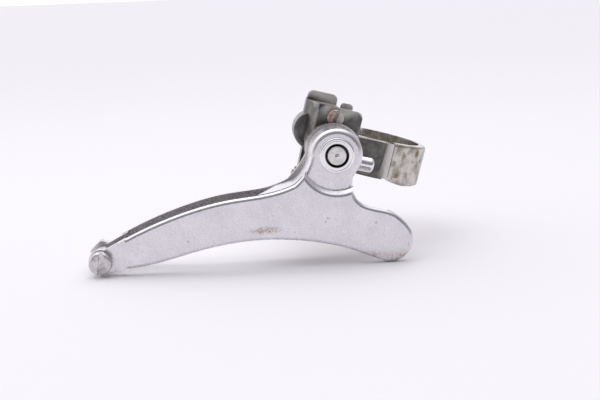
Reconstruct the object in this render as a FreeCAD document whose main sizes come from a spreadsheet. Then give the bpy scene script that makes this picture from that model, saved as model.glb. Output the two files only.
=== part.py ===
"""Clamp-on front derailleur with a sliding cage.

Two frames are used. The cage frame has X along the cage towards the nose, Y towards the
bicycle and Z up. The tube frame is the cage frame tilted about Y, so that its Z axis runs
along the seat tube. Both share their origin, the centre of the clamp bore.
"""

import FreeCAD
import Part

import math
import os
import re

from FreeCAD import Placement, Rotation, Vector

SIZES = {
    # clamp on the seat tube
    "tube_tilt": 15,
    "tube_radius": 14.3,
    "clamp_radius": 16.9,
    "clamp_half_height": 6.3,
    "band_flare": 1.3,
    "ear_thickness": 2,
    "ear_bolt_y": 21.6,
    "ear_end_y": 26.5,
    "fixed_ear_p": -9,
    "band_ear_p": -5.5,
    "bolt_radius": 2.5,
    "bolt_hole_radius": 2.55,
    "hook_p": 1.3,
    "hook_y": -17,
    "bead_radius": 1.2,
    "hook_inner_radius": 1.25,
    "hook_outer_radius": 2,
    # barrel and sliding sleeve, in the tube frame
    "slide_p": -18.6,
    "slide_q": 1.7,
    "barrel_radius": 8.8,
    "barrel_front_y": -31,
    "barrel_back_y": -8.5,
    "barrel_wall": 2.5,
    "chamber_radius": 7.2,
    "post_radius": 3,
    "post_front_y": -44.4,
    "sleeve_radius": 4.5,
    "sleeve_bore_radius": 3.05,
    "sleeve_mouth_radius": 3.65,
    "flange_radius": 5.6,
    "flange_thickness": 0.8,
    "collar_radius": 6.2,
    "collar_thickness": 1.2,
    "fork_groove": 3,
    "stop_plate_front_y": -17,
    "stop_plate_thickness": 1.5,
    # operating lever under the barrel
    "pivot_y": -18,
    "pivot_q": -10.5,
    "pin_radius": 1.5,
    "hub_bore_radius": 1.55,
    "hub_radius": 2.2,
    "hub_half_width": 6.8,
    "lug_half_span": 8.8,
    "flank_top": 15.1,
    "fork_length": 12.2,
    "fork_inner": 5.15,
    "fork_outer": 6.5,
    "cage_travel": 8,
    "arm_length": 26,
    "arm_inner": -0.8,
    "arm_outer": 1,
    # cage, in the cage frame
    "sheet": 1.2,
    "outer_face_y": -46,
    "cage_gap": 12,
    "boss_radius": 8.3,
    "boss_recess": 2.5,
    "recess_radius": 12.8,
    "recess_slope": 3.6,
    "lip_depth": 2.4,
    "edge_round": 1.1,
    "boss_round": 1.6,
    "inner_nose_drop": 3.2,
    "tail_x": -92.5,
    "tail_z": -23.5,
    "tail_step": 2,
    "tail_lug_radius": 3.9,
    "tail_screw_radius": 2,
    "tail_head_radius": 3.6,
    "tail_nut_flats": 8,
    # adjusting screws
    "screw_radius": 1.45,
    "screw_hole_radius": 1.5,
    "limit_head_radius": 2.65,
}

doc = FreeCAD.newDocument("front_derailleur")
sheet = doc.addObject("Spreadsheet::Sheet", "Sizes")
for row, (alias, number) in enumerate(SIZES.items(), start=1):
    sheet.set(f"A{row}", alias)
    sheet.set(f"B{row}", str(number))
    sheet.setAlias(f"B{row}", alias)
doc.recompute()

nodes = []


def size(alias):
    """The number that the sheet holds under a name."""
    return float(sheet.get(alias))


TILT = Placement(Vector(), Rotation(Vector(0, 1, 0), size("tube_tilt")))
UPRIGHT = Placement()
SLIDE_AXIS = TILT.multVec(Vector(size("slide_p"), 0, size("slide_q")))
HALF_SWING = math.degrees(math.asin(size("cage_travel") / 2 / size("fork_length")))
PIVOT = Vector(size("slide_p"), size("pivot_y"), size("pivot_q"))
LEVER = TILT.multiply(Placement(PIVOT, Rotation(Vector(1, 0, 0), -HALF_SWING)))
TURN = {
    "X": Rotation(Vector(0, 1, 0), 90),
    "Y": Rotation(Vector(1, 0, 0), -90),
    "Z": Rotation(),
}


def cells(text):
    """An expression whose words are names in the sheet."""
    return re.sub(r"[a-z_]+", lambda word: "Sizes." + word.group(), str(text))


def bind(item, **texts):
    """Bind properties to sheet expressions."""
    for name, text in texts.items():
        item.setExpression(name, cells(text))


def settle(item, corner):
    """Bind the three coordinates of an item's own base point."""
    for axis, text in zip("xyz", corner, strict=True):
        item.setExpression(f"Placement.Base.{axis}", cells(text))


def box(x, y, z):
    """A block between two expressions along each axis."""
    item = doc.addObject("Part::Box", "block")
    bind(
        item,
        Length=f"({x[1]}) - ({x[0]})",
        Width=f"({y[1]}) - ({y[0]})",
        Height=f"({z[1]}) - ({z[0]})",
    )
    settle(item, (x[0], y[0], z[0]))
    return item


def turned_box(x, y, z, axis, angle, centre):
    """A block between numbers, turned about an axis through its own origin and then moved."""
    item = box(x, y, z)
    for letter in "xyz":
        item.setExpression(f"Placement.Base.{letter}", None)
    turn = Rotation(axis, angle)
    item.Placement = Placement(centre + turn.multVec(Vector(x[0], y[0], z[0])), turn)
    return item


def corner_at(axis, start, at):
    """A base point from a position along an axis and the two other coordinates."""
    point = list(at)
    point.insert("XYZ".index(axis), start)
    return point


def rod(axis, span, at, radius, sweep=360, start_angle=0):
    """A cylinder, or a sector of one, along one axis between two expressions."""
    item = doc.addObject("Part::Cylinder", "rod")
    item.Placement = Placement(Vector(), TURN[axis].multiply(Rotation(Vector(0, 0, 1), start_angle)))
    bind(item, Radius=radius, Height=f"({span[1]}) - ({span[0]})")
    item.Angle = sweep
    settle(item, corner_at(axis, span[0], at))
    return item


def hexagon(axis, span, at, flats, turn=0):
    """A hexagonal prism along one axis, given its size across flats."""
    item = doc.addObject("Part::Prism", "hexagon")
    item.Placement = Placement(Vector(), TURN[axis].multiply(Rotation(Vector(0, 0, 1), turn)))
    item.Polygon = 6
    bind(item, Circumradius=f"({flats}) / 1.7320508", Height=f"({span[1]}) - ({span[0]})")
    settle(item, corner_at(axis, span[0], at))
    return item


def joined(*items):
    """The union of several items."""
    item = doc.addObject("Part::MultiFuse", "union")
    item.Shapes = list(items)
    return item


def without(base, *tools):
    """An item with others cut away from it."""
    item = doc.addObject("Part::Cut", "cut")
    item.Base = base
    item.Tool = tools[0] if len(tools) == 1 else joined(*tools)
    return item


def rounded(base, radius, chosen):
    """An item with the chosen straight or round edges filleted."""
    doc.recompute()
    item = doc.addObject("Part::Fillet", "rounded")
    item.Base = base
    numbered = enumerate(base.Shape.Edges, start=1)
    item.Edges = [(number, radius, radius) for number, edge in numbered if chosen(edge)]
    return item


def node(item, name, frame=TILT):
    """Name a finished sub-part and put it in its frame."""
    item.Label = name
    item.Placement = frame.multiply(item.Placement)
    nodes.append(item)


def runs_along(axis):
    """A test for straight edges parallel to an axis."""
    return lambda edge: (
        edge.Curve.TypeId == "Part::GeomLine" and abs(edge.tangentAt(edge.FirstParameter).dot(axis)) > 0.99
    )


SLIDE_AT = ("slide_p", "slide_q")
PIVOT_AT = ("pivot_y", "pivot_q")
ALONG_Y = Vector(0, 1, 0)


# ---------------------------------------------------------------- clamp and bracket


def clamp_ear(p_start, slot_end, corner=3):
    """A far-side ear with a bolt hole, or a slot that runs on to its end."""
    p_end = f"{p_start} + ear_thickness"
    plate = box((p_start, p_end), ("tube_radius - 0.8", "ear_end_y"), ("1 - clamp_half_height", "clamp_half_height - 1"))
    plate = rounded(plate, corner, lambda edge: edge.CenterOfMass.y > size("ear_end_y") - 0.1 and edge.Length < 3)
    cutters = [rod("X", (p_start, p_end), (f"ear_bolt_y - {slot_end}", 0), "bolt_hole_radius")]
    if slot_end:
        gap = ("-bolt_hole_radius", "bolt_hole_radius")
        cutters.append(box((p_start, p_end), (f"ear_bolt_y - {slot_end}", "ear_end_y + 1"), gap))
    return plate, cutters


def ring_sector(start_angle, sweep):
    """A stretch of the ring that grips the tube, still without its bore."""
    span = ("-clamp_half_height", "clamp_half_height")
    return rod("Z", span, (0, 0), "clamp_radius", sweep, start_angle)


def make_band():
    """The loose half of the clamp, with a bead that rests in the bracket's hook."""
    span = ("-clamp_half_height - band_flare", "clamp_half_height + 0.3")
    ring = rod("Z", span, (0, 0), "clamp_radius", 185, -78)
    relief = turned_box((-2, 12), (-20, 20), (-8, 0), ALONG_Y, 11, Vector(3, 0, -size("clamp_half_height")))
    ring = without(ring, relief)
    rim = rounded(ring, 1.1, lambda edge: edge.Curve.TypeId == "Part::GeomCircle")
    bead = rod("Z", ("-5.2", "5.8"), ("hook_p", "hook_y"), "bead_radius")
    neck = turned_box((0, 3.8), (-0.5, 0.5), (-5.2, 5.8), Vector(0, 0, 1), 38, Vector(size("hook_p"), size("hook_y"), 0))
    ear, cutters = clamp_ear("band_ear_p", 0.8)
    bore = rod("Z", (-20, 20), (0, 0), "tube_radius")
    node(without(joined(rim, bead, neck, ear), bore, *cutters), "clamp_band")


def make_flank():
    """The oblique side wall that joins the left edges of the two tabs."""
    plan = [(-25.6, -27), (-29.2, -17), (-29.2, -12), (-27, -12), (-27, -16), (-23.6, -25.5)]
    sketch = doc.addObject("Sketcher::SketchObject", "flank_plan")
    for start, end in zip(plan, plan[1:] + plan[:1], strict=True):
        sketch.addGeometry(Part.LineSegment(Vector(*start, 0), Vector(*end, 0)))
    wall = doc.addObject("Part::Extrusion", "flank")
    wall.Base = sketch
    wall.Dir = Vector(0, 0, 1)
    wall.DirMode = "Custom"
    wall.Solid = True
    bind(wall, LengthFwd="flank_top - slide_q")
    wall.Placement = Placement(Vector(0, 0, size("slide_q")), Rotation())
    return wall


def make_bracket():
    """The casting: barrel, clamp saddle, hook, tabs, side pocket and pivot lugs."""
    solid = [rod("Y", ("barrel_front_y", "barrel_back_y"), SLIDE_AT, "barrel_radius")]
    solid.append(ring_sector(114.5, 161))
    saddle_plate = box(("slide_p + 6.6", "hook_p"), ("hook_y - 1.5", "hook_y + 1.6"), (-5.6, 6.3))
    solid.append(saddle_plate)
    solid.append(rod("Z", (-5.6, 6.3), ("hook_p", "hook_y"), "hook_outer_radius"))
    rear_tab = box((-29.2, -19.2), (-17, -15.4), (6, 18.2))
    solid.append(rounded(rear_tab, 1.8, lambda edge: runs_along(ALONG_Y)(edge) and edge.CenterOfMass.z > 18))
    solid.append(box((-27.2, -19.2), (-26.6, -15.6), (13.4, 15.1)))
    solid.append(make_flank())
    front_tab = box((-25.6, -11), (-27, -25.5), (7.4, 15))
    solid.append(rounded(front_tab, 2, lambda edge: runs_along(ALONG_Y)(edge) and edge.CenterOfMass.z > 14))
    lobe = rod("Y", (-20, -11), (-25.3, 5.2), 6.3)
    solid.append(rounded(lobe, 0.6, lambda edge: edge.CenterOfMass.y < -19 and edge.Length > 30))
    for side in (("slide_p - lug_half_span", "slide_p - 7"), ("slide_p + 7", "slide_p + lug_half_span")):
        lug = box(side, ("pivot_y - 3", "pivot_y + 3"), ("pivot_q - 3", 0))
        solid.append(lug)
    ear, cutters = clamp_ear("fixed_ear_p", 0)
    solid.append(ear)
    cutters.append(rod("Y", ("barrel_front_y + 3", "barrel_back_y - barrel_wall"), SLIDE_AT, "chamber_radius"))
    cutters.append(rod("Y", (-32, -27), SLIDE_AT, "sleeve_radius + 0.08"))
    cutters.append(rod("Y", (-12, -8), SLIDE_AT, "post_radius"))
    cutters.append(box(("slide_p - 3.6", "slide_p + 6.2"), (-25.5, -14.5), ("slide_q", 13.2)))
    cutters.append(box(("slide_p - 7", "slide_p + 7"), (-27, -11.05), (-14, "slide_q - 2.4")))
    cutters.append(box(("slide_p - 7", "slide_p + 7"), (-11.1, -8), (-14, "slide_q - 3.9")))
    cutters.append(rod("Y", (-32, -27), (-20, 11.8), "limit_head_radius + 0.35"))
    cutters.append(rod("Y", (-20.5, -19), (-25.3, 5.2), 4.9))
    cutters.append(rod("X", ("slide_p - 10", "slide_p + 10"), PIVOT_AT, "pin_radius"))
    cutters.append(rod("Y", (-28, -25), (-20, 11.8), "screw_hole_radius"))
    cutters.append(rod("X", (-14, -8), (-24, -1.4), "screw_radius"))
    cutters.append(rod("Z", (-20, 20), (0, 0), "tube_radius"))
    cutters.append(rod("Z", (-6, 7), ("hook_p", "hook_y"), "hook_inner_radius"))
    cutters.append(rod("Z", (-7, 7), ("hook_p", "hook_y"), 3.4, 87, -25))
    node(without(joined(*solid), *cutters), "body_bracket")


def make_clamp_bolt():
    """The clamp bolt, its washer and the nut behind the fixed ear."""
    head_p = "band_ear_p + ear_thickness"
    at = ("ear_bolt_y", 0)
    washer_end = f"{head_p} + 0.8"
    stem = rod("X", ("fixed_ear_p - 5", f"{washer_end} + 3"), at, "bolt_radius")
    head = rod("X", (washer_end, f"{washer_end} + 3.4"), at, 4)
    head = rounded(head, 0.5, lambda edge: edge.CenterOfMass.x > size("band_ear_p") + 6 and edge.Length > 20)
    socket = hexagon("X", (f"{washer_end} + 1.2", f"{washer_end} + 4"), at, 4)
    node(without(joined(stem, head), socket), "clamp_bolt")
    disc = rod("X", (head_p, washer_end), at, 4.1)
    node(without(disc, rod("X", (head_p, washer_end), at, "bolt_radius")), "clamp_washer")
    block = hexagon("X", ("fixed_ear_p - 4", "fixed_ear_p"), at, 8)
    hole = rod("X", ("fixed_ear_p - 4", "fixed_ear_p"), at, "bolt_hole_radius")
    node(without(block, hole), "clamp_nut")


def make_guide_post():
    """The fixed post, with a turned centre mark in its free end."""
    post = rod("Y", ("post_front_y", "barrel_back_y"), SLIDE_AT, "post_radius")
    post = rounded(post, 0.35, lambda edge: edge.CenterOfMass.y < -40 and edge.Length > 15)
    mark = doc.addObject("Part::Cone", "centre_mark")
    mark.Radius1 = 0.7
    mark.Radius2 = 0.1
    mark.Height = 0.6
    mark.Placement = Placement(Vector(), TURN["Y"])
    settle(mark, ("slide_p", "post_front_y", "slide_q"))
    node(without(post, mark), "guide_post")


def make_plug_screw():
    """The bright plug screw in the barrel's side."""
    at = (-24, -1.4)
    head = rod("X", (-9.9, -3.4), at, 2.5)
    head = rounded(head, 1.2, lambda edge: edge.CenterOfMass.x > -4 and edge.Length > 10)
    stem = rod("X", (-11.4, -9), at, "screw_radius")
    node(joined(head, stem), "plug_screw")


def slotted_screw(at, head, stem, head_radius, slot_depth=1.3, lean=-80, rim=0.4):
    """A slotted screw along Y, given the spans of its head and its stem."""
    cap = rod("Y", head, at, head_radius)
    cap = rounded(cap, rim, lambda edge: edge.CenterOfMass.y < head[0] + 0.1 and edge.Length > 8)
    shaft = rod("Y", stem, at, "screw_radius")
    centre = Vector(at[0], head[0] - 0.05, at[1])
    half_slot = 0.18 * size(head_radius)
    groove = turned_box((-4, 4), (0, slot_depth), (-half_slot, half_slot), ALONG_Y, lean, centre)
    return without(joined(cap, shaft), groove)


def make_limit_screws():
    """The high screw in the front tab, with its lock spring, and the low screw behind it."""
    high_at = (-20, 11.8)
    node(slotted_screw(high_at, (-30.6, -28.6), (-29, -25.1), "limit_head_radius"), "high_limit_screw")
    turns = []
    for count in range(3):
        start = -28.6 + count * 0.55
        turns.append(rod("Y", (start, start + 0.5), high_at, 2.2))
    coil = joined(*turns, rod("Y", (-28.6, -27), high_at, 2))
    node(without(coil, rod("Y", (-29, -26), high_at, "screw_hole_radius + 0.1")), "limit_screw_spring")
    low_at = (-15.6, 14.4)
    node(slotted_screw(low_at, (-17.2, -16.8), (-17, -11.6), "screw_radius", 0.3, 10, 0.15), "low_limit_screw")


# ---------------------------------------------------------------- lever


def make_lever():
    """The forked lever, standing in its own frame with the pivot at the origin."""
    hub = rod("X", ("-hub_half_width", "hub_half_width"), (0, 0), "hub_radius")
    arm_span = ("arm_inner", "arm_outer")
    pieces = [hub]
    for side in (1, -1):
        inner = "fork_inner" if side > 0 else "-fork_outer"
        outer = "fork_outer" if side > 0 else "-fork_inner"
        pieces.append(box((inner, outer), (-0.8, 0.8), (0, "fork_length")))
        pieces.append(rod("X", (inner, outer), (0, "fork_length"), 1.2))
    arm = box(arm_span, (0, "arm_length"), (-1.8, 1.8))
    tip = rod("X", ("arm_inner - 1.6", "arm_outer"), ("arm_length", 0), 3.6)
    web = box(("-fork_outer", "fork_outer"), (-0.8, 0.8), (0, 4))
    cutters = [rod("X", (-8, 8), (0, 0), "hub_bore_radius"), rod("X", (-8, 8), ("arm_length", 0), 2)]
    node(without(joined(*pieces, arm, tip, web), *cutters), "operating_lever", LEVER)


def make_lever_spring():
    """The torsion spring on the lever's hub, as a stack of turns."""
    turns = []
    for count in range(4):
        start = 1.5 + count * 0.95
        turns.append(rod("X", (start, start + 0.85), (0, 0), 3.2))
    coil = joined(*turns, rod("X", (1.5, 5.1), (0, 0), 2.9))
    keep_clear = box((0, 6), (-0.8, 0.8), (0, 5))
    node(without(coil, rod("X", (0, 6), (0, 0), "hub_radius"), keep_clear), "lever_spring", LEVER)


def make_pivot_pin():
    """The lever's pivot pin and the ring that keeps it in the lugs."""
    ends = ("slide_p - lug_half_span - 1.6", "slide_p + lug_half_span + 0.2")
    pin = rod("X", ends, PIVOT_AT, "pin_radius")
    span = ("slide_p - lug_half_span - 0.8", "slide_p - lug_half_span")
    groove = without(rod("X", span, PIVOT_AT, 3), rod("X", span, PIVOT_AT, 1.1))
    node(without(pin, groove), "lever_pivot_pin")
    ring = rod("X", span, PIVOT_AT, 2.8)
    mouth = box(span, ("pivot_y - 1.1", "pivot_y + 1.1"), ("pivot_q - 4", "pivot_q"))
    node(without(ring, rod("X", span, PIVOT_AT, 1.1), mouth), "pivot_clip")


def make_cable_anchor():
    """The bolt and washer that pinch the cable on the lever's end."""
    at = ("arm_length", 0)
    face = "arm_inner - 1.6"
    disc = rod("X", (f"{face} - 1", face), at, 3.6)
    node(without(disc, rod("X", (f"{face} - 1", face), at, 2)), "anchor_washer", LEVER)
    head = hexagon("X", (f"{face} - 4", f"{face} - 1"), at, 7)
    stem = rod("X", (f"{face} - 2", "arm_outer"), at, 2)
    node(joined(head, stem), "anchor_bolt", LEVER)


# ---------------------------------------------------------------- sleeve


def stop_disc(span):
    """A disc on the sleeve, cut flat below so that the fork can swing past it."""
    disc = rod("Y", span, SLIDE_AT, "collar_radius")
    below = box(("slide_p - 7", "slide_p + 7"), span, ("slide_q - 7", "slide_q - 1.7"))
    return joined(without(disc, below), rod("Y", span, SLIDE_AT, "sleeve_radius + 0.35"))


def make_sleeve():
    """The sleeve that carries the cage along the post."""
    flange_y = "outer_face_y + boss_recess"
    end_y = "stop_plate_front_y + stop_plate_thickness + fork_groove + collar_thickness"
    tube = rod("Y", (flange_y, end_y), SLIDE_AT, "sleeve_radius")
    flange = rod("Y", (f"{flange_y} - flange_thickness", flange_y), SLIDE_AT, "flange_radius")
    flange = rounded(flange, 0.55, lambda edge: edge.CenterOfMass.y < -44 and edge.Length > 30)
    bore = rod("Y", (-46, -10), SLIDE_AT, "sleeve_bore_radius")
    mouth = rod("Y", (-46, f"{flange_y} + 4"), SLIDE_AT, "sleeve_mouth_radius")
    seam = rod("Y", (-46, f"{flange_y} - 0.35"), SLIDE_AT, 4.85)
    core = rod("Y", (-46, f"{flange_y}"), SLIDE_AT, 4.5)
    node(without(joined(tube, flange), bore, mouth, without(seam, core)), "sliding_sleeve")
    spacer_span = (f"{flange_y} + sheet", "outer_face_y + sheet + cage_gap")
    spacer = rod("Y", spacer_span, SLIDE_AT, 6)
    node(without(spacer, rod("Y", spacer_span, SLIDE_AT, "sleeve_radius")), "cage_spacer_tube")


def make_stop_plate():
    """The plate on the sleeve that rises between the tabs and holds the low screw."""
    span = ("stop_plate_front_y", "stop_plate_front_y + stop_plate_thickness")
    riser = box(("slide_p - 2.9", "slide_p + 5.4"), span, ("slide_q", 13.2))
    head = box(("slide_p + 0.9", "slide_p + 5.1"), span, (13, 16.2))
    head = rounded(head, 1.2, lambda edge: runs_along(ALONG_Y)(edge) and edge.CenterOfMass.z > 16)
    cutters = [rod("Y", span, SLIDE_AT, "sleeve_radius")]
    cutters.append(rod("Y", span, (-15.6, 14.4), "screw_hole_radius"))
    node(without(joined(stop_disc(span), riser, head), *cutters), "stop_plate")


def make_collar():
    """The rear disc of the fork groove."""
    start = "stop_plate_front_y + stop_plate_thickness + fork_groove"
    span = (start, f"{start} + collar_thickness")
    node(without(stop_disc(span), rod("Y", span, SLIDE_AT, "sleeve_radius")), "fork_collar")


# ---------------------------------------------------------------- cage


def curve(*points):
    """A smooth edge through points given as X, Z pairs."""
    spline = Part.BSplineCurve()
    spline.interpolate([Vector(x, 0, z) for x, z in points])
    return spline.toShape()


def straight(start, end):
    """A straight edge between X, Z pairs."""
    return Part.makeLine(Vector(start[0], 0, start[1]), Vector(end[0], 0, end[1]))


def prism(face, front, back):
    """A face in the XZ plane, carried between two Y stations."""
    moved = face.translated(Vector(0, front, 0))
    return moved.extrude(Vector(0, back - front, 0))


NECK_FOOT = (-31.2, -1.9)
TAIL_TOP = (-86.5, -17.2)
TAIL_FOOT = (-86.5, -25.7)


def cage_outline(boss_radius, neck_shift=0, nose_drop=0):
    """The side outline of a cage plate, from the round boss to the tail step."""
    centre_x, centre_z = SLIDE_AXIS.x, SLIDE_AXIS.z
    left = (centre_x - boss_radius, centre_z)
    lower = math.radians(-25)
    right = (centre_x + boss_radius * math.cos(lower), centre_z + boss_radius * math.sin(lower))
    top = Vector(centre_x, 0, centre_z + boss_radius)
    arc = Part.Arc(Vector(left[0], 0, left[1]), top, Vector(right[0], 0, right[1])).toShape()
    throat = (-12.6, -1)
    throat_foot = (-12.9, -5 - nose_drop)
    chin = (-3.8, -27.6)
    tuck = nose_drop / 3
    neck_foot = (NECK_FOOT[0] - neck_shift, NECK_FOOT[1])
    edges = [
        arc,
        straight(right, throat),
        straight(throat, throat_foot),
        curve(throat_foot, (-10.4, -8.7 - nose_drop), (-5.8, -10.5 - nose_drop), (0.2, -12.6 - nose_drop)),
        curve((0.2, -12.6 - nose_drop), (3.7 - tuck / 2, -15.9 - nose_drop), (5.7 - tuck, -20.2 - tuck),
              (4.6 - tuck, -24.4), (1.6 - tuck / 2, -27.1), chin),
        curve(chin, (-8.2, -25.7), (-16.2, -22.6), (-28.2, -19.9), (-42.7, -18.9), (-63.2, -21.7),
              (-76, -24.8), TAIL_FOOT),
        straight(TAIL_FOOT, TAIL_TOP),
        curve(TAIL_TOP, (-78.3, -13.4), (-65.5, -8.8), (-51.4, -5.7), (-40, -4.4), neck_foot),
        curve(neck_foot, (-28.2 - neck_shift, 1.2), left),
    ]
    return Part.Face(Part.Wire(Part.__sortEdges__(edges)))


def recess_edge(offset):
    """Half the section of the recess: floor, smooth rise and face, all moved back by an offset."""
    face_y = size("outer_face_y") + offset
    floor_y = face_y + size("boss_recess")
    rim = size("recess_radius") + offset / 2
    foot = rim - size("recess_slope")
    rise = Part.BezierCurve()
    middle = (foot + rim) / 2
    poles = [(foot, floor_y), (middle, floor_y), (middle + 0.4, face_y), (rim, face_y)]
    rise.setPoles([SLIDE_AXIS + Vector(radius, y, 0) for radius, y in poles])
    floor = Part.makeLine(SLIDE_AXIS + Vector(0, floor_y, 0), SLIDE_AXIS + Vector(foot, floor_y, 0))
    face = Part.makeLine(SLIDE_AXIS + Vector(rim, face_y, 0), SLIDE_AXIS + Vector(120, face_y, 0))
    return [floor, rise.toShape(), face]


def sheet_section():
    """The pressed recess round the boss, as a ring section turned about the boss axis."""
    front = recess_edge(0)
    back = recess_edge(size("sheet"))
    ends = []
    for index, which in ((0, 0), (2, 1)):
        ends.append(Part.makeLine(front[index].Vertexes[which].Point, back[index].Vertexes[which].Point))
    section = Part.Face(Part.Wire(Part.__sortEdges__(front + back + ends)))
    return section.revolve(SLIDE_AXIS, ALONG_Y, 360)


def rounded_prism(outline, front, back, radius):
    """An outline carried back from its front, whose front rim is rounded except at the tail."""
    solid = prism(outline, front, back)
    rim = []
    for edge in solid.Edges:
        in_front = all(abs(end.Point.y - front) < 0.001 for end in edge.Vertexes)
        if in_front and edge.CenterOfMass.x > TAIL_TOP[0] + 0.1:
            rim.append(edge)
    return solid.makeFillet(radius, rim)


def softened(shell, outline, front, back):
    """The pressed shell with rounded rims, at the cage's face and round the deeper boss."""
    floor = front + size("boss_recess")
    rim = size("recess_radius") - size("recess_slope") / 2
    near_boss = Part.makeCylinder(rim, 30, SLIDE_AXIS + Vector(0, front - 1, 0), ALONG_Y)
    face_part = shell.cut(near_boss).common(rounded_prism(outline, front, back, size("edge_round")))
    boss_part = shell.common(near_boss).common(rounded_prism(outline, floor, back, size("boss_round")))
    return face_part.fuse(boss_part)


def tail_lug(front_y, step_back):
    """The narrow lug at the tail, one step inboard or outboard of its plate, with its hole."""
    thick = size("sheet")
    centre = Vector(size("tail_x"), 0, size("tail_z"))
    radius = size("tail_lug_radius")
    above = Vector(centre.x + 1.2, 0, centre.z + radius - 0.2)
    below = Vector(centre.x + 0.4, 0, centre.z - radius + 0.04)
    arc = Part.Arc(above, Vector(centre.x - radius, 0, centre.z), below).toShape()
    top = (TAIL_TOP[0] + 2, TAIL_TOP[1] + 0.9)
    foot = (TAIL_FOOT[0] + 2, TAIL_FOOT[1] + 0.05)
    edges = [arc, straight((below.x, below.z), foot), straight(foot, top), straight(top, (above.x, above.z))]
    face = Part.Face(Part.Wire(Part.__sortEdges__(edges)))
    lug = prism(face, front_y + step_back, front_y + step_back + thick)
    ends = sorted((front_y, front_y + step_back))
    near_step = Part.makeBox(2.2, ends[1] - ends[0] + thick, 30, Vector(TAIL_TOP[0] - 0.2, ends[0], -40))
    step = prism(face, ends[0], ends[1] + thick).common(near_step)
    hole = Part.makeCylinder(size("tail_screw_radius"), 20, centre + Vector(0, front_y - 10, 0), ALONG_Y)
    return lug.fuse(step).cut(hole)


def inset(outline):
    """An outline moved in by one sheet, as plain splines."""
    moved = outline.makeOffset2D(-size("sheet"), 0)
    edges = [edge.Curve.toBSpline(edge.FirstParameter, edge.LastParameter).toShape() for edge in moved.Edges]
    return Part.Face(Part.Wire(Part.__sortEdges__(edges)))


def perimeter_wall(outline, front_y, back_y, region):
    """The part of a wall, one sheet thick along an outline, that lies in a region."""
    inner = inset(outline)
    wall = prism(outline, front_y, back_y).cut(prism(inner, front_y, back_y))
    return wall.common(region)


def flange_region(front_y, back_y):
    """The space over the boss and neck in which the deep wall stands, tapering to the tail."""
    plan = [Vector(-44.5, front_y, 0), Vector(-36, back_y, 0), Vector(-8, back_y, 0), Vector(-8, front_y, 0)]
    face = Part.Face(Part.makePolygon(plan + plan[:1])).translated(Vector(0, 0, -30))
    column = face.extrude(Vector(0, 0, 60))
    side = [Vector(-50, 0, 30), Vector(-50, 0, -12), Vector(-30, 0, -7), Vector(-18, 0, -0.8), Vector(-8, 0, -0.8)]
    side.append(Vector(-8, 0, 30))
    above = Part.Face(Part.makePolygon(side + side[:1])).translated(Vector(0, -60, 0)).extrude(Vector(0, 60, 0))
    return column.common(above)


def lip_region():
    """The space under the cage in which the shallow lip stands."""
    side = [(-86.4, -40), (-86.4, -22), (-60, -17), (-28, -15.5), (-9, -17), (-3, -15), (-1.5, -8), (12, -8), (12, -40)]
    points = [Vector(x, -60, z) for x, z in side]
    return Part.Face(Part.makePolygon(points + points[:1])).extrude(Vector(0, 60, 0))


def make_outer_plate():
    """The outer plate, pressed from one sheet with its wall, lip, recess and tail lug."""
    front = size("outer_face_y")
    thick = size("sheet")
    back = front + thick + size("cage_gap")
    outline = cage_outline(size("boss_radius"))
    plate = prism(outline, front, front + 5).common(sheet_section())
    wall = perimeter_wall(outline, front + size("boss_recess"), back, flange_region(front, back))
    lip = perimeter_wall(outline, front + 0.2, front + size("lip_depth"), lip_region())
    shell = softened(plate.fuse([wall, lip]), outline, front, back)
    body = shell.fuse(tail_lug(front, size("tail_step")))
    hole = Part.makeCylinder(size("sleeve_radius"), 20, SLIDE_AXIS + Vector(0, front - 5, 0), ALONG_Y)
    shape = body.cut(hole).removeSplitter()
    item = doc.addObject("Part::Feature", "outer_plate")
    item.Shape = shape
    node(item, "cage_outer_plate", UPRIGHT)


def make_inner_plate():
    """The inner plate, flat, with a wider neck and the lug stepped towards the other plate."""
    front = size("outer_face_y") + size("sheet") + size("cage_gap")
    outline = cage_outline(size("boss_radius") + 0.6, 1.6, size("inner_nose_drop"))
    plate = prism(outline, front, front + size("sheet"))
    hole = Part.makeCylinder(size("sleeve_radius"), 20, SLIDE_AXIS + Vector(0, front - 5, 0), ALONG_Y)
    shape = plate.fuse(tail_lug(front, -size("tail_step"))).cut(hole).removeSplitter()
    item = doc.addObject("Part::Feature", "inner_plate")
    item.Shape = shape
    node(item, "cage_inner_plate", UPRIGHT)


def make_tail_fixing():
    """The screw, spacer and nut that tie the two plates at the tail."""
    at = ("tail_x", "tail_z")
    lug_face = "outer_face_y + tail_step"
    spacer_start = f"{lug_face} + sheet"
    spacer_end = "outer_face_y + sheet + cage_gap - tail_step"
    nut_start = f"{spacer_end} + sheet"
    head = rod("Y", (f"{lug_face} - 3.4", lug_face), at, "tail_head_radius")
    head = rounded(head, 0.9, lambda edge: edge.CenterOfMass.y < -47 and edge.Length > 20)
    stem = rod("Y", (lug_face, f"{nut_start} + 3.2"), at, "tail_screw_radius")
    centre = Vector(size("tail_x"), size("outer_face_y") + size("tail_step") - 3.45, size("tail_z"))
    groove = turned_box((-4, 4), (0, 1.2), (-0.7, 0.7), ALONG_Y, -82, centre)
    node(without(joined(head, stem), groove), "tail_screw", UPRIGHT)
    spacer = rod("Y", (spacer_start, spacer_end), at, 3.2)
    node(without(spacer, rod("Y", (spacer_start, spacer_end), at, "tail_screw_radius")), "tail_spacer", UPRIGHT)
    nut = hexagon("Y", (nut_start, f"{nut_start} + 3.2"), at, "tail_nut_flats", 18)
    hole = rod("Y", (nut_start, f"{nut_start} + 3.2"), at, "tail_screw_radius")
    node(without(nut, hole), "tail_nut", UPRIGHT)


make_bracket()
make_band()
make_clamp_bolt()
make_guide_post()
make_plug_screw()
make_limit_screws()
make_lever()
make_lever_spring()
make_pivot_pin()
make_cable_anchor()
make_sleeve()
make_stop_plate()
make_collar()
make_outer_plate()
make_inner_plate()
make_tail_fixing()
doc.recompute()

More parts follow.
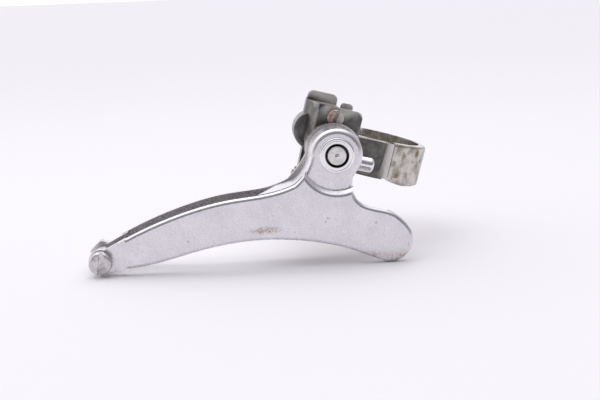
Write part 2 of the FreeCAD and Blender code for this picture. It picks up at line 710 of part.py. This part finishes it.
failed = [item.Name for item in doc.Objects if "Invalid" in item.State or "Error" in item.State]
failed += [item.Label for item in nodes if item.Shape.isNull() or not item.Shape.isValid()]
failed += [item.Label for item in nodes if len(item.Shape.Solids) != 1]
assert not failed, failed

os.makedirs("parts", exist_ok=True)
for item in nodes:
    item.Shape.exportStep(f"parts/{item.Label}.step")
    bounds = item.Shape.BoundBox
    print(f"{item.Label:20s} volume {item.Shape.Volume:9.1f}  X {bounds.XMin:7.1f} {bounds.XMax:7.1f}"
          f"  Y {bounds.YMin:7.1f} {bounds.YMax:7.1f}  Z {bounds.ZMin:7.1f} {bounds.ZMax:7.1f}")
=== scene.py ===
"""Looks of a clamp-on front derailleur: worn chrome cage, oxidised casting, aged nickel band."""

import math

import bpy
from mathutils import Matrix, Vector


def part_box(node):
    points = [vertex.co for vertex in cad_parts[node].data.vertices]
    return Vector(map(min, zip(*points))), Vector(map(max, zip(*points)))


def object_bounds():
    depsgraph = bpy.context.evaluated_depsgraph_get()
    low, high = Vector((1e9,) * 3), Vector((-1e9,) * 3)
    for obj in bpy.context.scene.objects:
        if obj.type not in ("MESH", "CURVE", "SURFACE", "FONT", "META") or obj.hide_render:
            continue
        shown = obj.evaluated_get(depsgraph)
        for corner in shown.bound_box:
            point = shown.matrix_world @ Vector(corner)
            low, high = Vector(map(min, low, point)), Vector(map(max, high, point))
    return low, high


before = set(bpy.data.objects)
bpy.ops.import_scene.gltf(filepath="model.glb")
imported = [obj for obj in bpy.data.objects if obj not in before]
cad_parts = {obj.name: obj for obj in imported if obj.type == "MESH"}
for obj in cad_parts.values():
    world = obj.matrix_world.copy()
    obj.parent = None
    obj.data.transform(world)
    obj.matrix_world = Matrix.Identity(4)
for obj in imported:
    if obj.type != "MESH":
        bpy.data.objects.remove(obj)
cad_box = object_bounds()

MM = 0.001
TILT = Matrix.Rotation(math.radians(15), 4, "Y")
PLATE_LOW, PLATE_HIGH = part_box("cage_outer_plate")
POST_AXIS = sum(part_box("guide_post"), Vector()) / 2
FRONT_SCREW = sum(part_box("high_limit_screw"), Vector()) / 2


def in_tube_frame(p, y, q):
    """A point given along the tube frame's axes, in millimetres, as a point of the frame."""
    return TILT @ Vector((p * MM, y * MM, q * MM))


def on_plate(along, up, depth=0.0):
    """A point of the outer plate, at shares of its length from the tail and of its height.

    The depth is how many millimetres the point lies behind the plate's outermost face.
    """
    size = PLATE_HIGH - PLATE_LOW
    return PLATE_LOW + Vector((along * size.x, depth * MM, up * size.z))


# ---------------------------------------------------------------- materials

DARK_PIT = (0.22, 0.15, 0.11)
PLATING_SPECK = (0.3, 0.24, 0.2)
# Near-black painted shade for the inside of the sleeve's bore.
BORE_SHADE = (0.02, 0.018, 0.016)
RUST = (0.24, 0.12, 0.06)
ORANGE_RUST = (0.42, 0.16, 0.04)
BROWN = (0.33, 0.2, 0.11)
RED_BROWN = (0.4, 0.2, 0.1)


class NodeMaker:
    """Adds the nodes that a material and the world share to a node tree."""

    def __init__(self, tree):
        self.nodes = tree.nodes
        self.links = tree.links

    def ramp(self, value, low, high, start=0.0, end=1.0):
        """A value carried smoothly from the range low to high onto the range start to end."""
        node = self.nodes.new("ShaderNodeMapRange")
        node.interpolation_type = "SMOOTHSTEP"
        limits = {"From Min": low, "From Max": high, "To Min": start, "To Max": end}
        for socket, number in limits.items():
            node.inputs[socket].default_value = number
        self.links.new(value, node.inputs["Value"])
        return node.outputs["Result"]

    def mix(self, share, first, second, blend="MIX"):
        """Two colours mixed by a share."""
        node = self.nodes.new("ShaderNodeMix")
        node.data_type = "RGBA"
        node.blend_type = blend
        self.links.new(share, node.inputs["Factor"])
        targets = [each for each in node.inputs if each.type == "RGBA"]
        for target, item in zip(targets, (first, second), strict=True):
            if isinstance(item, tuple):
                target.default_value = (*item, 1)
            else:
                self.links.new(item, target)
        return [each for each in node.outputs if each.type == "RGBA"][0]


class Surface(NodeMaker):
    """A procedural material that is built up node by node."""

    def __init__(self, name, metallic=1.0):
        self.material = bpy.data.materials.new(name)
        self.material.use_nodes = True
        super().__init__(self.material.node_tree)
        self.shader = self.nodes["Principled BSDF"]
        self.shader.inputs["Metallic"].default_value = metallic
        self.place = self.nodes.new("ShaderNodeTexCoord").outputs["Object"]

    def stretched(self, scale, offset=(0, 0, 0)):
        """Object coordinates scaled along each axis."""
        node = self.nodes.new("ShaderNodeMapping")
        node.inputs["Scale"].default_value = scale
        node.inputs["Location"].default_value = offset
        self.links.new(self.place, node.inputs["Vector"])
        return node.outputs["Vector"]

    def noise(self, scale, detail, rough, where=None):
        """Fractal noise, between 0 and 1."""
        node = self.nodes.new("ShaderNodeTexNoise")
        node.inputs["Scale"].default_value = scale
        node.inputs["Detail"].default_value = detail
        node.inputs["Roughness"].default_value = rough
        self.links.new(where or self.place, node.inputs["Vector"])
        return node.outputs["Fac"]

    def maths(self, operation, first, second):
        """Two values, or a value and a number, put together; a product stays between 0 and 1."""
        node = self.nodes.new("ShaderNodeMath")
        node.operation = operation
        node.use_clamp = operation == "MULTIPLY"
        for socket, item in zip(node.inputs, (first, second), strict=False):
            if isinstance(item, (int, float)):
                socket.default_value = item
            else:
                self.links.new(item, socket)
        return node.outputs["Value"]

    def distance(self, centre, weights=(1, 1, 1)):
        """The distance in metres from a point, with each axis weighted."""
        away = self.place
        for operation, second in (("SUBTRACT", centre), ("MULTIPLY", weights)):
            node = self.nodes.new("ShaderNodeVectorMath")
            node.operation = operation
            self.links.new(away, node.inputs[0])
            node.inputs[1].default_value = second
            away = node.outputs["Vector"]
        length = self.nodes.new("ShaderNodeVectorMath")
        length.operation = "LENGTH"
        self.links.new(away, length.inputs[0])
        return length.outputs["Value"]

    def spot(self, centre, radius):
        """A round mark about a point: 1 inside and 0 outside."""
        return self.ramp(self.distance(centre), 0.4 * radius, 1.6 * radius, 1, 0)

    def streak(self, centre, radius, stretch):
        """A mark about a point, longer along X by a factor: 1 inside and 0 outside."""
        away = self.distance(centre, (1 / stretch, 1, 1))
        return self.ramp(away, 0.3 * radius, 1.5 * radius, 1, 0)

    def worn_edges(self, low=0.52, high=0.62):
        """1 along outward edges, from the surface's pointiness."""
        node = self.nodes.new("ShaderNodeNewGeometry")
        return self.ramp(node.outputs["Pointiness"], low, high)

    def finish(self, colour, roughness, relief, strength, depth):
        """Connect the colour and the roughness, and the relief as a bump that is depth metres deep."""
        self.links.new(colour, self.shader.inputs["Base Color"])
        self.links.new(roughness, self.shader.inputs["Roughness"])
        node = self.nodes.new("ShaderNodeBump")
        node.inputs["Strength"].default_value = strength
        node.inputs["Distance"].default_value = depth
        self.links.new(relief, node.inputs["Height"])
        self.links.new(node.outputs["Normal"], self.shader.inputs["Normal"])
        return self.material


def cage_chrome(name, tint=(0.80, 0.785, 0.81), marks=()):
    """Satin chrome, with a fine grain, faint haze, small pits and brown scuffs."""
    look = Surface(name)
    grain = look.noise(1, 5, 0.75, look.stretched((1500, 1500, 2600)))
    haze = look.noise(160, 7, 0.7)
    pits = look.ramp(look.noise(1100, 2, 0.5), 0.72, 0.77)
    shade = look.maths("ADD", look.maths("MULTIPLY", grain, 0.6), look.maths("MULTIPLY", haze, 0.4))
    clean = look.mix(look.ramp(shade, 0.3, 0.7), tint, tuple(0.86 * part for part in tint))
    dirty = look.mix(look.maths("MULTIPLY", pits, 0.5), clean, DARK_PIT)
    for centre, radius, stretch, colour in marks:
        gaps = look.ramp(look.noise(1300, 4, 0.75), 0.36, 0.62, 0, 0.85)
        patch = look.streak(centre, radius * MM, stretch)
        dirty = look.mix(look.maths("MULTIPLY", patch, gaps), dirty, colour)
    gloss = look.ramp(shade, 0.3, 0.7, 0.22, 0.34)
    return look.finish(dirty, gloss, grain, 0.1, 0.03 * MM)


def bright_chrome(name, bore=None):
    """Bright plating with a little haze, and painted shade inside a bore, given by its centre and radius.
    """
    look = Surface(name)
    haze = look.noise(300, 5, 0.65)
    specks = look.ramp(look.noise(1400, 2, 0.5), 0.68, 0.74)
    colour = look.mix(look.maths("MULTIPLY", specks, 0.6), (0.86, 0.85, 0.86), PLATING_SPECK)
    if bore:
        centre, radius = bore
        off_axis = look.distance(centre, (1, 0, 1))
        # Painted shade: the bore round the post axis is coloured near-black.
        colour = look.mix(look.ramp(off_axis, radius, 1.06 * radius, 0.97, 0), colour, BORE_SHADE)
    return look.finish(colour, look.ramp(haze, 0.3, 0.75, 0.12, 0.28), haze, 0.05, 0.05 * MM)


def oxidised_casting(name):
    """Dull cast alloy, grey-brown in its skin and brighter where it is rubbed."""
    look = Surface(name, metallic=0.9)
    cloud = look.noise(150, 6, 0.65)
    grain = look.noise(1800, 3, 0.6)
    stain_place = look.stretched((1, 1, 1), (0.3, 0.1, 0.2))
    stain = look.ramp(look.noise(90, 4, 0.6, stain_place), 0.52, 0.68)
    skin = look.mix(look.ramp(cloud, 0.35, 0.65), (0.10, 0.097, 0.09), (0.22, 0.213, 0.20))
    brown = look.mix(look.maths("MULTIPLY", stain, 0.55), skin, (0.13, 0.085, 0.05))
    rubbed = look.mix(look.worn_edges(), brown, (0.6, 0.58, 0.55))
    spot = look.spot(in_tube_frame(-8.2, -18.6, -3.5), 1.6 * MM)
    rust = look.maths("MULTIPLY", spot, look.ramp(grain, 0.4, 0.6))
    rusty = look.mix(rust, rubbed, ORANGE_RUST)
    relief = look.maths("ADD", look.maths("MULTIPLY", grain, 0.5), cloud)
    return look.finish(rusty, look.ramp(grain, 0.3, 0.7, 0.3, 0.48), relief, 0.25, 0.1 * MM)


def aged_nickel(name, stains):
    """Nickel plating with yellow patina, brown spots and fine scratches round the band."""
    look = Surface(name)
    cloud = look.noise(240, 7, 0.68)
    scratches = look.noise(1, 4, 0.7, look.stretched((350, 350, 3200)))
    spots = look.ramp(look.noise(420, 3, 0.55), 0.63, 0.7)
    patina = look.mix(look.ramp(cloud, 0.4, 0.66), (0.58, 0.56, 0.525), (0.27, 0.245, 0.2))
    spotted = look.mix(look.maths("MULTIPLY", spots, 0.7), patina, (0.2, 0.13, 0.07))
    for centre, radius in stains:
        spotted = look.mix(look.spot(centre, radius * MM), spotted, (0.2, 0.12, 0.07))
    gloss = look.ramp(cloud, 0.3, 0.7, 0.18, 0.38)
    return look.finish(spotted, gloss, scratches, 0.14, 0.04 * MM)


def plain_steel(name, tint=(0.56, 0.54, 0.53), rust=0.45):
    """Turned steel with patches of rust."""
    look = Surface(name)
    cloud = look.noise(420, 5, 0.65)
    rings = look.noise(1, 3, 0.6, look.stretched((3000, 500, 3000)))
    patch = look.maths("MULTIPLY", look.ramp(cloud, 0.5, 0.64), rust)
    gloss = look.ramp(cloud, 0.35, 0.7, 0.24, 0.55)
    return look.finish(look.mix(patch, tint, RUST), gloss, rings, 0.15, 0.05 * MM)


def rusty_screw(name, centre):
    """Plated steel rusted from the left, still bright on the right."""
    look = Surface(name, metallic=0.85)
    grain = look.noise(1500, 4, 0.65)
    side = look.nodes.new("ShaderNodeSeparateXYZ")
    look.links.new(look.place, side.inputs["Vector"])
    left = look.ramp(side.outputs["X"], centre.x - MM, centre.x + 1.8 * MM, 0.95, 0.12)
    share = look.maths("MULTIPLY", left, look.ramp(grain, 0.25, 0.6))
    colour = look.mix(share, (0.66, 0.62, 0.6), (0.34, 0.19, 0.15))
    return look.finish(colour, look.ramp(grain, 0.3, 0.7, 0.3, 0.6), grain, 0.3, 0.1 * MM)


def dull_brass(name):
    """Brass gone brown."""
    look = Surface(name)
    cloud = look.noise(260, 5, 0.6)
    colour = look.mix(look.ramp(cloud, 0.35, 0.7), (0.5, 0.37, 0.17), (0.28, 0.19, 0.09))
    return look.finish(colour, look.ramp(cloud, 0.3, 0.7, 0.3, 0.5), cloud, 0.1, 0.05 * MM)


def dress(material, *names):
    """Give CAD nodes one material."""
    for name in names:
        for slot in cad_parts[name].material_slots:
            slot.material = material


# Each mark is its centre, its radius in millimetres, its stretch along X and its colour.
CAGE_MARKS = (
    (on_plate(0.5444, 0.2864), 1.1, 4.0, BROWN),
    (on_plate(0.8842, 0.3052), 0.4, 1.0, RED_BROWN),
    (on_plate(0.7364, 0.3544), 0.4, 1.5, RED_BROWN),
    (on_plate(0.7295, 0.3286), 0.3, 1.0, RED_BROWN),
    (on_plate(0.3075, 0.2325), 0.3, 1.0, RED_BROWN),
    (on_plate(0.9538, 0.0310, 0.5), 2.2, 2.0, (0.40, 0.31, 0.24)),
    (on_plate(0.8656, 0.0638, 0.5), 1.2, 4.0, (0.45, 0.38, 0.33)),
)
BAND_STAINS = (
    (in_tube_frame(12.6, -11.4, 4.1), 1.1),
    (in_tube_frame(14.6, -8.6, 1.6), 0.9),
)
SLEEVE_BORE = 3.7 * MM


def dress_everything():
    """Every CAD node's material."""
    dress(cage_chrome("worn_cage_chrome", marks=CAGE_MARKS), "cage_outer_plate")
    # The inner plate gets the cage chrome with a darker tint, as painted shade for the plate behind the
    # outer one.
    dress(cage_chrome("shaded_inner_cage_chrome", (0.72, 0.7, 0.7)), "cage_inner_plate")
    # The bore given here is painted near-black as shade inside the sleeve.
    dress(bright_chrome("bright_sleeve", (POST_AXIS, SLEEVE_BORE)), "sliding_sleeve")
    dress(bright_chrome("bright_plug"), "plug_screw")
    dress(oxidised_casting("oxidised_casting"), "body_bracket")
    dress(aged_nickel("aged_nickel", BAND_STAINS), "clamp_band", "operating_lever")
    dress(plain_steel("grey_steel"),
          "clamp_bolt", "clamp_washer", "clamp_nut", "stop_plate", "fork_collar")
    dress(plain_steel("post_steel", (0.76, 0.75, 0.74), 0.1), "guide_post")
    dress(plain_steel("hidden_steel", rust=0.7), "lever_pivot_pin", "pivot_clip", "lever_spring",
          "anchor_bolt", "anchor_washer", "limit_screw_spring")
    dress(plain_steel("tail_steel", (0.68, 0.66, 0.67), 0.25), "tail_screw", "tail_nut", "tail_spacer")
    dress(rusty_screw("rusty_screw", FRONT_SCREW), "high_limit_screw")
    dress(plain_steel("low_screw_steel", rust=0.8), "low_limit_screw")
    dress(dull_brass("dull_brass"), "cage_spacer_tube")


# ---------------------------------------------------------------- floor, light and camera

FLOOR_SIZE = 40
FLOOR_GAP = 0.02 * MM
FLOOR_COLOUR = (0.90, 0.885, 0.905, 1)
ROOM_BEHIND_VIEWER = (0.2, 0.2, 0.215)
ROOM_AHEAD = (0.965, 0.945, 0.99)
ROOM_STRENGTH = 1.2


def lay_floor():
    """A plain pale floor that runs back to a pale distance."""
    height = cad_box[0].z - FLOOR_GAP
    bpy.ops.mesh.primitive_plane_add(size=FLOOR_SIZE, location=(0, 0, height))
    floor = bpy.context.object
    floor.name = "floor"
    material = bpy.data.materials.new("pale_floor")
    material.use_nodes = True
    shader = material.node_tree.nodes["Principled BSDF"]
    shader.inputs["Base Color"].default_value = FLOOR_COLOUR
    shader.inputs["Roughness"].default_value = 0.95
    shader.inputs["Specular IOR Level"].default_value = 0.1
    floor.data.materials.append(material)


def light_room():
    """A bright room that is darker behind the viewer and to the right, and brighter overhead."""
    world = bpy.data.worlds.new("pale_room")
    bpy.context.scene.world = world
    world.use_nodes = True
    room = NodeMaker(world.node_tree)
    direction = room.nodes.new("ShaderNodeSeparateXYZ")
    room.links.new(room.nodes.new("ShaderNodeTexCoord").outputs["Generated"], direction.inputs["Vector"])
    ahead = room.ramp(direction.outputs["Y"], -0.75, -0.1)
    colour = room.mix(ahead, ROOM_BEHIND_VIEWER, ROOM_AHEAD)
    for axis, low, high, shade in (("X", 0.35, 0.75, 0.45), ("Z", 0.45, 0.8, 1.25)):
        band = room.ramp(direction.outputs[axis], low, high)
        colour = room.mix(band, colour, (shade, shade, shade), "MULTIPLY")
    background = room.nodes["Background"]
    background.inputs["Strength"].default_value = ROOM_STRENGTH
    room.links.new(colour, background.inputs["Color"])


def add_key_light():
    """A soft rectangular light above the object, behind it and to its left."""
    place = Vector((-0.15, 0.1, 0.6))
    target = Vector((-0.03, -0.02, 0))
    light = bpy.data.lights.new("key", "AREA")
    light.shape = "RECTANGLE"
    light.size = 0.5
    light.size_y = 0.4
    light.energy = 0.45
    lamp = bpy.data.objects.new("key", light)
    lamp.location = place
    lamp.rotation_euler = (target - place).to_track_quat("-Z", "Y").to_euler()
    bpy.context.scene.collection.objects.link(lamp)


def add_camera():
    """The viewer's camera: nearly level with the drive side, a little above and rearward."""
    azimuth = math.radians(-3.5)
    elevation = math.radians(10.8)
    roll = math.radians(2.2)
    distance = 0.342
    level = math.cos(elevation)
    forward = Vector((-math.sin(azimuth) * level, math.cos(azimuth) * level, -math.sin(elevation)))
    data = bpy.data.cameras.new("camera")
    data.lens = 66
    data.sensor_width = 36
    data.clip_start = 0.01
    camera = bpy.data.objects.new("camera", data)
    camera.location = on_plate(0.6528, 0.501) - distance * forward
    turn = forward.to_track_quat("-Z", "Y").to_matrix().to_4x4() @ Matrix.Rotation(-roll, 4, "Z")
    camera.rotation_euler = turn.to_euler()
    bpy.context.scene.collection.objects.link(camera)
    bpy.context.scene.camera = camera


dress_everything()
lay_floor()
light_room()
add_key_light()
add_camera()
bpy.context.scene.view_settings.view_transform = "Standard"
